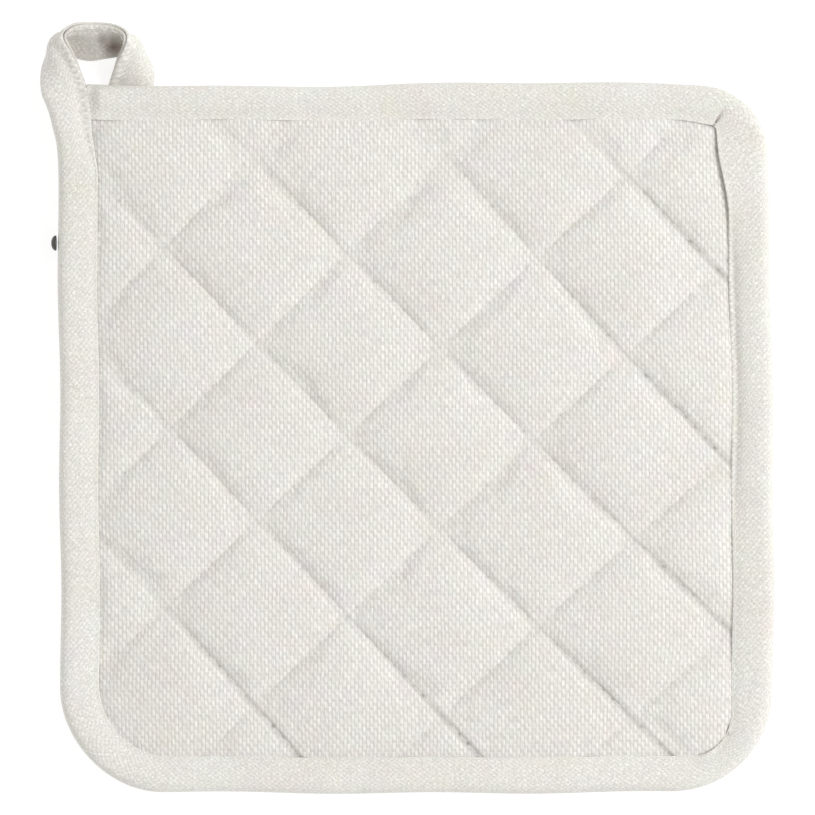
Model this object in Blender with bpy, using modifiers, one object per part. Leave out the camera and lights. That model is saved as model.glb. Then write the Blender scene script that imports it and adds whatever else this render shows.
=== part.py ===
"""A quilted cotton pot holder, lying on its back.

Metres, +Z up. The origin is at the middle of the pad, on the surface that the pot holder lies on; +Y points
to the edge with the hanging loop and +X to the right of someone who looks down at the front.

A maker cuts two squares of cloth and one of wadding, quilts them together along slanting seams, folds a bias
tape over the raw edges, and lets the end of that tape run on into the loop. So there are four pieces: the pad
with its sewn channels, the tape, the loop and a small domed stud on the left edge.
"""

import math

import bmesh
import bpy
from mathutils import Matrix, Vector

MM = 0.001

# The whole holder
HALF_SIDE = 100 * MM
CLEARANCE = 0.6 * MM  # from the pad to the inner edge of the tape

# Corner radii: of the folded outer edge, and of the inner edge of the tape where the pad comes out of it.
OUTER_RADIUS = {(-1, -1): 27 * MM, (1, -1): 25.5 * MM, (1, 1): 20.5 * MM, (-1, 1): 12 * MM}
FIELD_RADIUS = {(-1, -1): 20 * MM, (1, -1): 11 * MM, (1, 1): 3 * MM, (-1, 1): 2 * MM}
# Distances from the middle to the tape's inner edge, on each side
FIELD_LEFT = 88.9 * MM
FIELD_RIGHT = 88.6 * MM
FIELD_TOP = 89.7 * MM
FIELD_BOTTOM = 89.9 * MM
# At the upper right corner the tape is folded over further: the inner edge is drawn in on both sides.
CORNER_CUT = 3.4 * MM
CORNER_CUT_ALONG = (62 * MM, 84 * MM)
CORNER_CUT_ACROSS = (70 * MM, 84 * MM)
CORNER_DROP = 2.0 * MM
CORNER_DROP_ALONG = (74 * MM, 84 * MM)
CORNER_DROP_ACROSS = (70 * MM, 84 * MM)

# Heights above the surface that it lies on
PAD_EDGE_TOP = 4.6 * MM
PAD_EDGE_BOTTOM = 1.6 * MM
SEAM_TOP = 5.4 * MM
SEAM_BOTTOM = 1.5 * MM
CROWN_TOP = 8.6 * MM
RESTING_SHARE = 0.8  # the underside is pressed flat where the form of the crown is higher than this

# Form of the filled diamonds
PUFF = 0.45  # below 1 the cloth rises steeply beside a seam
EDGE_SWELL = 8 * MM  # how far from the tape the pad reaches its full height
RING_SCALES = (0.88, 0.68, 0.42)
CELL_STEP = 9.2 * MM
SHORTEST_EDGE = 0.9 * MM

# Seams: (distance of the seam from the middle in mm, turn away from 45 degrees, bow in mm over BOW_SPAN)
BOW_SPAN = 100 * MM
FALLING_SEAMS = (
    (-84.1, -2.4, 1.0),
    (-48.2, -1.6, -0.5),
    (-13.0, -0.3, -1.1),
    (23.2, -0.1, -1.0),
    (60.0, -3.0, -2.1),
    (94.8, -1.0, -0.1),
)
RISING_SEAMS = (
    (-99.3, -3.8, 0.5),
    (-62.2, -2.3, 2.0),
    (-23.1, -1.7, 0.8),
    (13.9, -1.8, 0.5),
    (50.8, -0.3, 0.1),
    (88.4, 1.2, -0.7),
)
SEAM_SPACING = 36.5 * MM

# The pad's edge inside the tape: (inset from the folded edge in mm, share of the edge's thickness)
PAD_RIM = ((3.4, 1.0), (2.3, 0.72), (2.3, 0.28), (3.4, 0.0))

# Tape section, from the inner edge of the back leg round the fold to the inner edge of the front leg and back
# through the slot: (share of the leg's width, inset from the folded edge in mm, height in mm)
TAPE_SECTION = (
    (1.0, 0.0, 1.2),
    (1.0, 0.0, 0.3),
    (1.0, -0.5, 0.0),
    (0.0, 3.0, 0.0),
    (0.0, 1.2, 0.5),
    (0.0, 0.25, 1.7),
    (0.0, 0.0, 3.3),
    (0.0, 0.25, 4.8),
    (0.0, 1.2, 6.2),
    (0.0, 3.0, 7.0),
    (0.6, 0.0, 6.6),
    (1.0, -0.6, 5.9),
    (1.0, 0.0, 5.5),
    (1.0, 0.0, 5.0),
    (0.0, 2.7, 5.0),
    (0.0, 1.6, 4.3),
    (0.0, 1.6, 2.1),
    (0.0, 2.7, 1.2),
)
ARC_STEPS = 8
SIDE_STEPS = 11
FRONT_FLOOR = 5.35 * MM  # a fold presses no point of the front leg lower than this

# Where the tape starts and ends at the loop corner, in mm: (folded edge x, y, open edge x, y)
TOP_START = (-91.45, 100.0, -90.15, 89.7)
LOOP_CORNER_RUN = (
    (-100.0, 76.0, -88.9, 76.0),
    (-100.3, 82.5, -89.8, 82.5),
    (-101.2, 87.0, -90.3, 87.5),
    (-102.1, 91.2, -90.5, 92.0),
    (-103.1, 94.1, -91.1, 96.0),
    (-104.0, 96.6, -91.75, 99.5),
)

# Folds pressed into the front of the tape where it turns a corner: {step of the turn: depth in mm}
CORNER_FOLDS = {
    (1, 1): {2: 0.3, 3: 1.0, 4: 0.2},
    (1, -1): {1: 0.4, 6: 0.5},
    (-1, -1): {5: 0.3},
}

# Hand-made unevenness of the whole holder
SIDE_BOW = 1.5 * MM
SIDE_BOW_MIDDLE = -36 * MM
LEFT_SHIFT = 0.8 * MM
BOTTOM_BOW = 0.8 * MM
LEAN = 0.005  # the left side leans in towards the bottom
RIPPLE = 0.25 * MM
RIPPLE_LENGTH = 57 * MM
LIFT = 2.9 * MM  # the corner lies on the end of the loop
LIFT_MIDDLE = Vector((-84 * MM, 94 * MM))
LIFT_FLAT = 12 * MM
LIFT_REACH = 80 * MM
SQUEEZE = 0.72  # thickness left where the tape closes at the loop corner
SQUEEZE_ACROSS = (-92 * MM, -98 * MM)
SQUEEZE_ALONG = (82 * MM, 99 * MM)
MIDDLE_HEIGHT = 3.3 * MM

# Loop: a row for each section after the one on the binding, in mm, round to the end behind the top edge:
# (open edge x, y, z, folded edge x, y, z, bulge of the outer face)
LOOP_SECTIONS = (
    (-94.1, 103.4, 7.3, -105.9, 101.0, 4.6, 0.5),
    (-96.0, 107.8, 9.6, -105.4, 105.4, 2.6, 1.2),
    (-98.4, 112.8, 11.8, -103.3, 109.3, 1.4, 1.8),
    (-95.6, 116.1, 10.8, -98.6, 108.2, 1.0, 1.3),
    (-90.9, 116.8, 8.9, -92.8, 106.8, 0.9, 0.6),
    (-87.3, 116.6, 9.2, -87.7, 107.4, 0.9, 0.3),
    (-83.9, 115.8, 10.4, -83.3, 108.2, 0.9, 0.6),
    (-81.3, 113.7, 11.8, -78.8, 109.7, 1.0, 1.3),
    (-81.6, 110.6, 11.4, -75.5, 107.8, 1.1, 1.3),
    (-83.3, 107.6, 9.0, -74.0, 105.0, 1.3, 1.0),
    (-85.0, 104.0, 5.6, -73.6, 102.2, 1.3, 0.5),
    (-86.6, 100.6, 2.3, -74.2, 98.6, 1.25, 0.1),
    (-88.6, 95.8, 1.2, -76.6, 93.4, 1.2, 0.0),
    (-90.4, 91.6, 1.2, -78.8, 88.9, 1.2, 0.0),
)
LOOP_STEPS = 3  # sections made between two rows
LOOP_HALF_THICKNESS = 1.15 * MM
LOOP_SEAT = 0.35 * MM  # from the end of the binding
LOOP_START_THICKENING = 0.9  # the tape is fuller where it leaves the pad
LOOP_START_LENGTH = 2  # rows over which it thins out
# Section of the folded tape: (share of the width from the open edge, share of the half thickness)
LOOP_PROFILE = (
    (0.015, 1.0),
    (0.25, 1.0),
    (0.5, 1.0),
    (0.75, 1.0),
    (0.94, 0.9),
    (1.0, 0.35),
    (1.0, -0.35),
    (0.94, -0.9),
    (0.75, -1.0),
    (0.5, -1.0),
    (0.25, -1.0),
    (0.015, -1.0),
    (0.0, -0.5),
    (0.055, 0.0),
    (0.0, 0.5),
)

# Stud on the left edge
STUD_Y = 54.9 * MM
STUD_SEAT = 0.36 * MM  # from the folded edge of the tape
STUD_STEPS = 28
# Turned profile: (radius in mm, height in mm), top to bottom
STUD_PROFILE = ((0.0, 1.45), (0.9, 1.36), (1.6, 1.05), (2.05, 0.6), (2.2, 0.15), (2.1, 0.0), (0.0, 0.0))

CLOTH_COLOUR = (226, 223, 216)
TAPE_COLOUR = (228, 226, 219)
STUD_COLOUR = (62, 61, 58)


def clamp(value, low, high):
    return max(low, min(high, value))


def smooth_step(value):
    value = clamp(value, 0.0, 1.0)
    return value * value * (3 - 2 * value)


def step_between(limits, value):
    """Rises smoothly from 0 at the first limit to 1 at the second."""
    return smooth_step((value - limits[0]) / (limits[1] - limits[0]))


def linear_colour(rgb):
    """The colour that a picture shows as rgb, as the linear values that a shader takes."""
    scaled = [channel / 255 for channel in rgb]
    return [c / 12.92 if c <= 0.04045 else ((c + 0.055) / 1.055) ** 2.4 for c in scaled] + [1.0]


def make_material(name, colour, roughness, metallic=0.0):
    material = bpy.data.materials.new(name)
    material.use_nodes = True
    shader = material.node_tree.nodes["Principled BSDF"]
    shader.inputs["Base Color"].default_value = linear_colour(colour)
    shader.inputs["Roughness"].default_value = roughness
    shader.inputs["Metallic"].default_value = metallic
    return material


# --- The outline ----------------------------------------------------------------------------------


def corner_of(point):
    return (1 if point.x > 0 else -1, 1 if point.y > 0 else -1)


def outline_distance(point, left, right, top, bottom, radii):
    """Distance from the rounded outline, below 0 inside it, and the direction straight out of it."""
    corner = corner_of(point)
    radius = radii[corner]
    beyond = Vector((abs(point.x) - (right if corner[0] > 0 else left) + radius,
                     abs(point.y) - (top if corner[1] > 0 else bottom) + radius))
    outside = Vector((max(beyond.x, 0.0), max(beyond.y, 0.0)))
    if outside.length > 0:
        out = outside.normalized()
    else:
        out = Vector((1.0, 0.0)) if beyond.x > beyond.y else Vector((0.0, 1.0))
    distance = outside.length + min(max(beyond.x, beyond.y), 0.0) - radius
    return distance, Vector((out.x * corner[0], out.y * corner[1]))


def from_fold(point):
    return outline_distance(point, HALF_SIDE, HALF_SIDE, HALF_SIDE, HALF_SIDE, OUTER_RADIUS)


def corner_cut(x, y):
    """How far the inner edge is drawn to the left at the upper right corner."""
    return CORNER_CUT * step_between(CORNER_CUT_ALONG, y) * step_between(CORNER_CUT_ACROSS, x)


def corner_drop(x, y):
    """How far the inner edge is drawn down at the upper right corner."""
    return CORNER_DROP * step_between(CORNER_DROP_ALONG, x) * step_between(CORNER_DROP_ACROSS, y)


def drawn_in(point):
    """The place on the drawn-in inner edge of a point on the plain rounded one."""
    y = point.y - corner_drop(point.x, point.y)
    return Vector((point.x - corner_cut(point.x, y), y))


def from_field(point):
    x = point.x + corner_cut(point.x, point.y)
    plain = Vector((x, point.y + corner_drop(x, point.y)))
    return outline_distance(plain, FIELD_LEFT, FIELD_RIGHT, FIELD_TOP, FIELD_BOTTOM, FIELD_RADIUS)


def arc_pair(corner, share):
    """Folded edge and inner edge of the tape at a share of the turn round a corner, clockwise from above."""
    side_x, side_y = corner
    first = 90 if side_y > 0 else 0
    if side_x < 0:
        first = -90 if side_y < 0 else 180
    angle = math.radians(first - 90 * share)
    direction = Vector((math.cos(angle), math.sin(angle)))
    field = (FIELD_RIGHT if side_x > 0 else FIELD_LEFT, FIELD_TOP if side_y > 0 else FIELD_BOTTOM)
    pair = []
    for half, radius in (((HALF_SIDE, HALF_SIDE), OUTER_RADIUS[corner]), (field, FIELD_RADIUS[corner])):
        centre = Vector((side_x * (half[0] - radius), side_y * (half[1] - radius)))
        pair.append(centre + direction * radius)
    return pair


# --- The quilting ---------------------------------------------------------------------------------


def seam_lines(rows, turn):
    """For each seam its direction, its normal, its distance from the middle, and its bow."""
    lines = []
    for offset, tilt, bow in rows:
        angle = math.radians(turn + tilt)
        along = Vector((math.cos(angle), math.sin(angle)))
        lines.append((along, Vector((-along.y, along.x)), offset * MM, bow * MM))
    return lines


SEAM_FAMILIES = (seam_lines(FALLING_SEAMS, -45), seam_lines(RISING_SEAMS, 45))


def straight_offsets(point, family):
    """How far the point lies past each seam's straight line."""
    return [point.dot(normal) - offset for along, normal, offset, bow in family]


def bow_at(point, line):
    along, normal, offset, bow = line
    return -bow * (point.dot(along) / BOW_SPAN) ** 2


def between(offsets):
    """The band that the offsets fall in, and the share of the way across it."""
    padded = [offsets[0] + SEAM_SPACING] + offsets + [offsets[-1] - SEAM_SPACING]
    for band in range(len(padded) - 1):
        if padded[band + 1] <= 0 or band == len(padded) - 2:
            width = padded[band] - padded[band + 1]
            return band, clamp(padded[band] / width, 0.0, 1.0)


def bowed(point):
    """Moves a point so that the straight cuts take the seams' slight bows."""
    moved = point.copy()
    for family in SEAM_FAMILIES:
        band, share = between(straight_offsets(point, family))
        before = family[max(band - 1, 0)]
        after = family[min(band, len(family) - 1)]
        shift = bow_at(point, before) * (1 - share) + bow_at(point, after) * share
        moved += before[1] * shift
    return moved


def crown(point):
    """0 on a seam, 1 on the top of a filled diamond."""
    form = 1.0
    for family in SEAM_FAMILIES:
        share = between(straight_offsets(point, family))[1]
        form *= 4 * share * (1 - share)
    return max(form, 0.0) ** PUFF


def inside_tape(point, on_edge):
    """The place, moved to the edge of the field if it belongs there or is past it, and its depth in it."""
    distance, out = from_field(point)
    past = distance + CLEARANCE
    if not on_edge and past <= 0:
        return point, -past
    for _ in range(3):
        point = point - out * past
        distance, out = from_field(point)
        past = distance + CLEARANCE
    return point, 0.0


def edge_swell(depth):
    """0 at the tape, 1 where the pad has its full thickness."""
    return math.sqrt(min(depth / EDGE_SWELL, 1.0))


def front_height(form, depth):
    full = SEAM_TOP + (CROWN_TOP - SEAM_TOP) * form
    return PAD_EDGE_TOP + (full - PAD_EDGE_TOP) * edge_swell(depth)


def back_height(form, depth):
    full = SEAM_BOTTOM * (1 - form / RESTING_SHARE)
    return max(0.0, PAD_EDGE_BOTTOM + (full - PAD_EDGE_BOTTOM) * edge_swell(depth))


# --- Unevenness shared by all pieces --------------------------------------------------------------


def lift_at(x, y):
    distance = (Vector((x, y)) - LIFT_MIDDLE).length
    return LIFT * (1 - smooth_step((distance - LIFT_FLAT) / LIFT_REACH))


def uneven(point):
    """Bows and ripples the sides, closes the tape towards the loop and lifts that corner onto its end."""
    x, y, z = point
    share_x = x / HALF_SIDE
    share_y = y / HALF_SIDE
    squeezed = step_between(SQUEEZE_ACROSS, x) * step_between(SQUEEZE_ALONG, y)
    kept = 1 - (1 - SQUEEZE) * squeezed
    bow = SIDE_BOW * (1 - ((y - SIDE_BOW_MIDDLE) / HALF_SIDE) ** 2) * max(share_x, 0.0) ** 2
    lean = -LEAN * (y - HALF_SIDE / 2) * max(-share_x, 0.0) ** 2
    shift = LEFT_SHIFT * max(-share_x, 0.0) ** 4
    sag = BOTTOM_BOW * (1 - share_x**2) * max(-share_y, 0.0) ** 4
    wave = math.tau / RIPPLE_LENGTH
    return Vector((
        x + bow + lean - shift + RIPPLE * math.sin(wave * y) * share_x**2,
        y - sag + RIPPLE * math.sin(wave * x + 1) * share_y**2,
        MIDDLE_HEIGHT + (z - MIDDLE_HEIGHT) * kept + lift_at(x, y),
    ))


# --- Pieces ---------------------------------------------------------------------------------------


def finish(bm, name, material, collection):
    """Points the faces outwards and makes the object."""
    bmesh.ops.recalc_face_normals(bm, faces=bm.faces)
    mesh = bpy.data.meshes.new(name)
    bm.to_mesh(mesh)
    bm.free()
    mesh.materials.append(material)
    mesh.shade_smooth()
    piece = bpy.data.objects.new(name, mesh)
    collection.objects.link(piece)
    return piece


def cut_cells(bm):
    """One face of the field's outline, cut along every seam."""
    outline = []
    for corner in ((-1, 1), (1, 1), (1, -1), (-1, -1)):
        for step in range(ARC_STEPS // 2 + 1):
            edge = drawn_in(arc_pair(corner, step / (ARC_STEPS // 2))[1])
            outline.append(bm.verts.new((*edge, 0.0)))
    bm.faces.new(reversed(outline))
    for family in SEAM_FAMILIES:
        for along, normal, offset, bow in family:
            bmesh.ops.bisect_plane(
                bm, geom=bm.verts[:] + bm.edges[:] + bm.faces[:],
                plane_co=(*(normal * offset), 0.0), plane_no=(*normal, 0.0),
            )
    bmesh.ops.remove_doubles(bm, verts=bm.verts, dist=SHORTEST_EDGE)
    for edge in bm.edges[:]:
        cuts = round(edge.calc_length() / CELL_STEP) - 1
        if cuts > 0:
            bmesh.ops.subdivide_edges(bm, edges=[edge], cuts=cuts)


def add_rings(bm):
    """Rings inside each cell, each a smaller copy of its outline, and a fan in the middle."""
    cells = bm.faces[:]
    for cell in cells:
        middle = cell.calc_center_median_weighted()
        reached = 1.0
        for scale in RING_SCALES:
            bmesh.ops.inset_individual(bm, faces=[cell], thickness=0.0)
            bmesh.ops.scale(bm, vec=(scale / reached, scale / reached, 1.0),
                            space=Matrix.Translation(-middle), verts=cell.verts)
            reached = scale
    bmesh.ops.poke(bm, faces=cells)


def make_pad(material, collection):
    """A front and a back sheet with the same seams, joined by a thin rim that lies inside the tape."""
    bm = bmesh.new()
    cut_cells(bm)
    add_rings(bm)
    back = bmesh.ops.duplicate(bm, geom=bm.verts[:] + bm.edges[:] + bm.faces[:])["geom"]
    back_points = {v for v in back if isinstance(v, bmesh.types.BMVert)}
    for point in bm.verts:
        height = back_height if point in back_points else front_height
        place, depth = inside_tape(bowed(point.co.xy), point.is_boundary)
        point.co = (*place, height(crown(point.co.xy), depth))
    bmesh.ops.reverse_faces(bm, faces=[f for f in back if isinstance(f, bmesh.types.BMFace)])
    add_rim(bm, back_points)
    for point in bm.verts:
        point.co = uneven(point.co)
    return finish(bm, "quilted_pad", material, collection)


def add_rim(bm, back_points):
    """Draws both sheets' edges out to the rim and joins them."""
    thickness = PAD_EDGE_TOP - PAD_EDGE_BOTTOM
    open_edges = [edge for edge in bm.edges if edge.is_boundary]
    loops = []
    for side_points, rows in ((False, PAD_RIM[:2]), (True, PAD_RIM[:1:-1])):
        edges = [e for e in open_edges if (e.verts[0] in back_points) == side_points]
        for inset, share in rows:
            made = bmesh.ops.extrude_edge_only(bm, edges=edges)["geom"]
            edges = [part for part in made if isinstance(part, bmesh.types.BMEdge)]
            for point in {vert for edge in edges for vert in edge.verts}:
                distance, out = from_fold(point.co.xy)
                place = point.co.xy - out * (distance + inset * MM)
                point.co = (*place, PAD_EDGE_BOTTOM + thickness * share)
        loops += edges
    bmesh.ops.bridge_loops(bm, edges=loops)


def tape_stations():
    """Folded edge, open edge and depth of a fold, clockwise from the loop corner along all four sides."""
    stations = [(Vector(TOP_START[:2]) * MM, Vector(TOP_START[2:]) * MM, 0.0)]
    for corner, folds in CORNER_FOLDS.items():
        turn = [(*arc_pair(corner, step / ARC_STEPS), folds.get(step, 0.0) * MM)
                for step in range(ARC_STEPS + 1)]
        stations += side_between(stations[-1], turn[0]) + turn
    last = [(Vector(row[:2]) * MM, Vector(row[2:]) * MM, 0.0) for row in LOOP_CORNER_RUN]
    stations += side_between(stations[-1], last[0]) + last
    return [(folded, drawn_in(opened), depth) for folded, opened, depth in stations]


def side_between(start, end):
    """Stations evenly between two others."""
    shares = [step / SIDE_STEPS for step in range(1, SIDE_STEPS)]
    return [(start[0].lerp(end[0], share), start[1].lerp(end[1], share), 0.0) for share in shares]


def sweep(bm, sections):
    """Joins a row of closed sections with the same number of points into one solid with flat ends."""
    rings = []
    for section in sections:
        points = [bm.verts.new(place) for place in section]
        ring = [bm.edges.new((a, b)) for a, b in zip(points, points[1:] + points[:1])]
        rings.append(ring)
    for before, after in zip(rings, rings[1:]):
        bmesh.ops.bridge_loops(bm, edges=before + after)
    bmesh.ops.holes_fill(bm, edges=rings[0] + rings[-1], sides=0)


def make_binding(material, collection):
    bm = bmesh.new()
    sections = []
    for folded, opened, depth in tape_stations():
        across = opened - folded
        section = []
        for share, inset, height in TAPE_SECTION:
            place = folded + across * share + across.normalized() * inset * MM
            level = height * MM
            if level > FRONT_FLOOR:
                level = max(level - depth, FRONT_FLOOR)
            section.append(uneven((*place, level)))
        sections.append(section)
    sweep(bm, sections)
    return finish(bm, "binding", material, collection)


def curve_point(rows, position):
    """A smooth curve through the rows, read at a position that counts rows."""
    index = min(int(position), len(rows) - 2)
    t = position - index
    around = [rows[clamp(index + k, 0, len(rows) - 1)] for k in (-1, 0, 1, 2)]
    weights = (
        (-t + 2 * t**2 - t**3) / 2,
        (2 - 5 * t**2 + 3 * t**3) / 2,
        (t + 4 * t**2 - 3 * t**3) / 2,
        (-(t**2) + t**3) / 2,
    )
    return [sum(w * row[i] for w, row in zip(weights, around)) for i in range(len(rows[0]))]


def loop_start():
    """The loop's first section: a seat's clearance past the end of the binding, at its middle height."""
    folded, opened, depth = tape_stations()[-1]
    folded, opened = (uneven((*edge, MIDDLE_HEIGHT)) for edge in (folded, opened))
    across = opened - folded
    away = Vector((-across.y, across.x, 0.0)).normalized() * LOOP_SEAT
    return (*((opened + away) / MM), *((folded + away) / MM), 0.0)


def make_loop(material, collection):
    table = (loop_start(), *LOOP_SECTIONS)
    count = (len(table) - 1) * LOOP_STEPS + 1
    rows = [curve_point(table, step / LOOP_STEPS) for step in range(count)]
    opened = [Vector(row[:3]) * MM for row in rows]
    folded = [Vector(row[3:6]) * MM for row in rows]
    bm = bmesh.new()
    sections = []
    for step in range(count):
        before, after = max(step - 1, 0), min(step + 1, count - 1)
        run = (opened[after] + folded[after]) - (opened[before] + folded[before])
        if step == 0:
            run.z = 0.0
        across = folded[step] - opened[step]
        normal = run.cross(across).normalized()
        fuller = LOOP_START_THICKENING * max(0.0, 1 - step / LOOP_STEPS / LOOP_START_LENGTH)
        half = LOOP_HALF_THICKNESS * (1 + fuller)
        bulge = rows[step][6] * MM
        section = []
        for share, side in LOOP_PROFILE:
            out = bulge * 4 * share * (1 - share) + half * side
            place = opened[step] + across * share + normal * out
            section.append((place.x, place.y, max(place.z, 0.0)))
        sections.append(section)
    sweep(bm, sections)
    return finish(bm, "hanging_loop", material, collection)


def make_stud(material, collection):
    """A turned domed head, its flat side against the folded edge of the tape."""
    bm = bmesh.new()
    points = [bm.verts.new((radius * MM, 0.0, height * MM)) for radius, height in STUD_PROFILE]
    for a, b in zip(points, points[1:]):
        bm.edges.new((a, b))
    mesh = bpy.data.meshes.new("edge_stud")
    bm.to_mesh(mesh)
    bm.free()
    mesh.materials.append(material)
    stud = bpy.data.objects.new("edge_stud", mesh)
    collection.objects.link(stud)
    turn = stud.modifiers.new("Turn", "SCREW")
    turn.steps = turn.render_steps = STUD_STEPS
    turn.use_merge_vertices = True
    turn.merge_threshold = 0.00001
    turn.use_smooth_shade = True
    seat = uneven((-HALF_SIDE, STUD_Y, MIDDLE_HEIGHT))
    stud.location = seat - Vector((STUD_SEAT, 0.0, 0.0))
    stud.rotation_euler = (0.0, math.radians(-90), 0.0)
    return stud


def main():
    for leftover in list(bpy.data.objects):
        bpy.data.objects.remove(leftover, do_unlink=True)
    collection = bpy.data.collections.new("Pot holder")
    bpy.context.scene.collection.children.link(collection)
    cloth = make_material("quilted cloth", CLOTH_COLOUR, 0.9)
    tape = make_material("bias tape", TAPE_COLOUR, 0.9)
    dark_metal = make_material("dark metal", STUD_COLOUR, 0.45, 0.6)
    make_pad(cloth, collection)
    make_binding(tape, collection)
    make_loop(tape, collection)
    make_stud(dark_metal, collection)


main()
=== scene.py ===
import math

import bmesh
import bpy
from mathutils import Matrix, Vector, noise
from mathutils.bvhtree import BVHTree


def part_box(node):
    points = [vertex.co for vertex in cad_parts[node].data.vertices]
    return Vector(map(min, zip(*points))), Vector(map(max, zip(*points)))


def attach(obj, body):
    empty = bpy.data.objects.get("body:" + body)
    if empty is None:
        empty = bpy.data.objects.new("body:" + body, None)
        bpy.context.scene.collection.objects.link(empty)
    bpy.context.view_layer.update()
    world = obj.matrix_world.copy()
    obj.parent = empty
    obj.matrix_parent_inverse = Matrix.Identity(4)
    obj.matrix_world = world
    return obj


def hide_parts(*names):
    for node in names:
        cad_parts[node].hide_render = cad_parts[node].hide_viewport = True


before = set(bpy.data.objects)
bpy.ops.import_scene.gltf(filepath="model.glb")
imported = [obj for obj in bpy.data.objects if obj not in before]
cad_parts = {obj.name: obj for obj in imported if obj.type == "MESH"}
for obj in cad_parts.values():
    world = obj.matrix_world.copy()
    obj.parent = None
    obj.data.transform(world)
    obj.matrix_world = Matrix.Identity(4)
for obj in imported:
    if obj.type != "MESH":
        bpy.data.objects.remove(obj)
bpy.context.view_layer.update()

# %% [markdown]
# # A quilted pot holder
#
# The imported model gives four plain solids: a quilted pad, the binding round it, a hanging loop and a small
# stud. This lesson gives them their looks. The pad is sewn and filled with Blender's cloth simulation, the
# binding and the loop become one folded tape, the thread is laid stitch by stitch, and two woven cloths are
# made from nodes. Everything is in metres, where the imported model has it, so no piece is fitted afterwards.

MM = 0.001
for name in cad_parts:
    low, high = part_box(name)
    print(name, "from", [round(v / MM, 1) for v in low], "to", [round(v / MM, 1) for v in high], "mm")

# %% [markdown]
# ## The view
#
# A shop picture of a flat textile is taken from straight above with a long lens, so that the far corners
# aren't seen from the side. A perspective camera with a 180 mm lens does the same. Its height follows from
# the width of the picture on the table. The white of the table has to stay white, and Blender's default view
# transform greys it, so the scene uses the standard one.

# %% Camera
PICTURE_WIDTH = 230.2 * MM
PICTURE_MIDDLE = Vector((-1.98 * MM, 8.47 * MM, 6 * MM))
LENS = 180.0
SENSOR = 36.0

camera_data = bpy.data.cameras.new("camera")
camera_data.lens = LENS
camera_data.sensor_width = SENSOR
camera_data.clip_end = 10.0
camera = bpy.data.objects.new("camera", camera_data)
camera.location = PICTURE_MIDDLE + Vector((0.0, 0.0, PICTURE_WIDTH * LENS / SENSOR))
bpy.context.scene.collection.objects.link(camera)
bpy.context.scene.camera = camera
bpy.context.scene.view_settings.view_transform = "Standard"
print("camera", round(camera.location.z, 3), "m above the table")

# %% [markdown]
# ## Light and table
#
# The seams are shaded dark on one side and light on the other: the diamonds are dark along the edges that
# face away from the upper right. So the main light is a panel on the right, a little towards the top and as
# high as it is far out. It is half as large as it is far away, which makes soft shadows, and an even white
# surround fills them. The table glows a little, so that it stays white where the holder shades it.

# %% Lights
KEY_ENERGY = 13.2
KEY_SIZE = 0.8
KEY_PLACE = Vector((1.15, 0.24, 1.1))
SURROUND = 0.778


def panel(name, place, size, energy):
    """A square light that faces the middle of the pot holder."""
    data = bpy.data.lights.new(name, "AREA")
    data.size = size
    data.energy = energy
    light = bpy.data.objects.new(name, data)
    light.location = place
    light.rotation_euler = (-place).to_track_quat("-Z", "Y").to_euler()
    bpy.context.scene.collection.objects.link(light)


panel("key panel", KEY_PLACE, KEY_SIZE, KEY_ENERGY)
world = bpy.data.worlds.new("surround")
world.use_nodes = True
world.node_tree.nodes["Background"].inputs["Color"].default_value = (1.0, 1.0, 1.0, 1.0)
world.node_tree.nodes["Background"].inputs["Strength"].default_value = SURROUND
bpy.context.scene.world = world

# %% Small helpers for numbers and colours


def clamp(value, low=0.0, high=1.0):
    return max(low, min(high, value))


def smooth_step(value):
    value = clamp(value)
    return value * value * (3 - 2 * value)


def step_between(limits, value):
    """Rises smoothly from 0 at the first limit to 1 at the second."""
    return smooth_step((value - limits[0]) / (limits[1] - limits[0]))


def linear(red, green, blue):
    """A colour as a picture shows it, 0 to 255, as the linear values that a shader takes."""
    scaled = [channel / 255 for channel in (red, green, blue)]
    return [c / 12.92 if c <= 0.04045 else ((c + 0.055) / 1.055) ** 2.4 for c in scaled] + [1.0]


# %% The table


def new_object(name, bm):
    """Makes an object from a bmesh, shaded smooth, and links it to the scene."""
    for face in bm.faces:
        face.smooth = True
    mesh = bpy.data.meshes.new(name)
    bm.to_mesh(mesh)
    bm.free()
    piece = bpy.data.objects.new(name, mesh)
    bpy.context.scene.collection.objects.link(piece)
    return piece


TABLE_HALF = 1.6
TABLE_WHITE = 0.45
TABLE_GLOW = 0.66
bm = bmesh.new()
bmesh.ops.create_grid(bm, x_segments=1, y_segments=1, size=TABLE_HALF)
table = new_object("table", bm)
table_white = bpy.data.materials.new("table white")
table_white.use_nodes = True
shader = table_white.node_tree.nodes["Principled BSDF"]
shader.inputs["Base Color"].default_value = (TABLE_WHITE, TABLE_WHITE, TABLE_WHITE, 1.0)
shader.inputs["Roughness"].default_value = 0.9
shader.inputs["Emission Color"].default_value = (1.0, 1.0, 1.0, 1.0)
shader.inputs["Emission Strength"].default_value = TABLE_GLOW
table.data.materials.append(table_white)

# %% [markdown]
# ## Woven cloth from nodes
#
# Both cloths are plain weave: each warp yarn goes over one weft yarn and under the next. An image would blur
# when a corner is seen close up, so the weave is worked out from the cloth's own flat coordinates, which each
# piece carries as a UV map in metres. Two sine profiles give the round yarns, a cosine lifts and sinks them
# in turn, and the higher of the two shows and drives the bump. Shade is painted into the gaps beside the yarns,
# on the sunk wefts and at every other crossing. Noise that is drawn out along the yarns makes lengths of them
# thicker or lighter, as in undyed cotton.

# %% A short way to write nodes


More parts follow.
